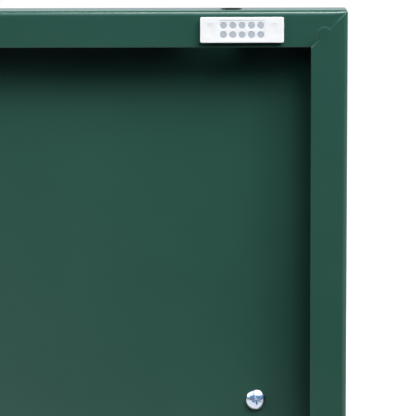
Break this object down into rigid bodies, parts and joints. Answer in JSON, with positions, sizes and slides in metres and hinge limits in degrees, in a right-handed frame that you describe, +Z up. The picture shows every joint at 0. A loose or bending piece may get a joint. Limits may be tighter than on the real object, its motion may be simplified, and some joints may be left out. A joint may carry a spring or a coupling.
{
  "type": "wall mounted mailbox",
  "caption": "Sheet-steel wall mailbox with a lifting letter lid and a side-hinged front door held by a thin magnetic catch, shown with the door open.",
  "frame": {"origin": "on the wall plane, at the middle of the back panel's rear face", "axes": "+Y into the wall, so the mailbox stands out along -Y; +X to the viewer's right, towards the open door; +Z up"},
  "size_m": [0.6082, 0.1283, 0.4102],
  "materials": {
    "green_powder_coat": "satin",
    "zinc_plate": "bright zinc plate",
    "satin_nickel": "satin",
    "magnet_metal": "plain",
    "white_plastic": "satin",
    "foam_tape": "matt",
    "black_rubber": "matt"
  },
  "bodies": {
    "body": {"back_panel": "green_powder_coat", "body_corner_tab_left": "green_powder_coat", "body_corner_tab_right": "green_powder_coat", "body_shell": "green_powder_coat", "door_bumper_lower": "black_rubber", "door_bumper_upper": "black_rubber", "lid_bumper_left": "black_rubber", "lid_bumper_right": "black_rubber", "lid_hinge_pin": "zinc_plate", "lid_hinge_wall_leaf": "zinc_plate", "lower_body_rivet_1": "zinc_plate", "lower_body_rivet_2": "zinc_plate", "lower_body_rivet_3": "zinc_plate", "lower_hinge_body_leaf": "zinc_plate", "lower_hinge_pin": "zinc_plate", "top_front_rail": "green_powder_coat", "upper_body_rivet_1": "zinc_plate", "upper_body_rivet_2": "zinc_plate", "upper_body_rivet_3": "zinc_plate", "upper_hinge_body_leaf": "zinc_plate", "upper_hinge_pin": "zinc_plate"},
    "door": {"catch_adhesive_pad": "foam_tape", "catch_housing": "white_plastic", "catch_magnet_01": "magnet_metal", "catch_magnet_02": "magnet_metal", "catch_magnet_03": "magnet_metal", "catch_magnet_04": "magnet_metal", "catch_magnet_05": "magnet_metal", "catch_magnet_06": "magnet_metal", "catch_magnet_07": "magnet_metal", "catch_magnet_08": "magnet_metal", "catch_magnet_09": "magnet_metal", "catch_magnet_10": "magnet_metal", "door_corner_tab_lower_free": "green_powder_coat", "door_corner_tab_lower_hinge": "green_powder_coat", "door_corner_tab_upper_free": "green_powder_coat", "door_corner_tab_upper_hinge": "green_powder_coat", "door_knob": "satin_nickel", "door_panel": "green_powder_coat", "knob_screw": "zinc_plate", "lower_door_rivet_1": "zinc_plate", "lower_door_rivet_2": "zinc_plate", "lower_door_rivet_3": "zinc_plate", "lower_hinge_door_leaf": "zinc_plate", "upper_door_rivet_1": "zinc_plate", "upper_door_rivet_2": "zinc_plate", "upper_door_rivet_3": "zinc_plate", "upper_hinge_door_leaf": "zinc_plate"},
    "lid": {"letter_lid": "green_powder_coat", "lid_hinge_lid_leaf": "zinc_plate"}
  },
  "joints": [
    {"name": "door_hinge", "type": "hinge", "parent": "body", "child": "door", "pos_m": [0.153, -0.10675, -0.012], "axis": [0, 0, 1], "range_deg": [-180, 0]},
    {"name": "lid_hinge", "type": "hinge", "parent": "body", "child": "lid", "pos_m": [0, -0.006, 0.202], "axis": [-1, 0, 0], "range_deg": [0, 90]}
  ]
}
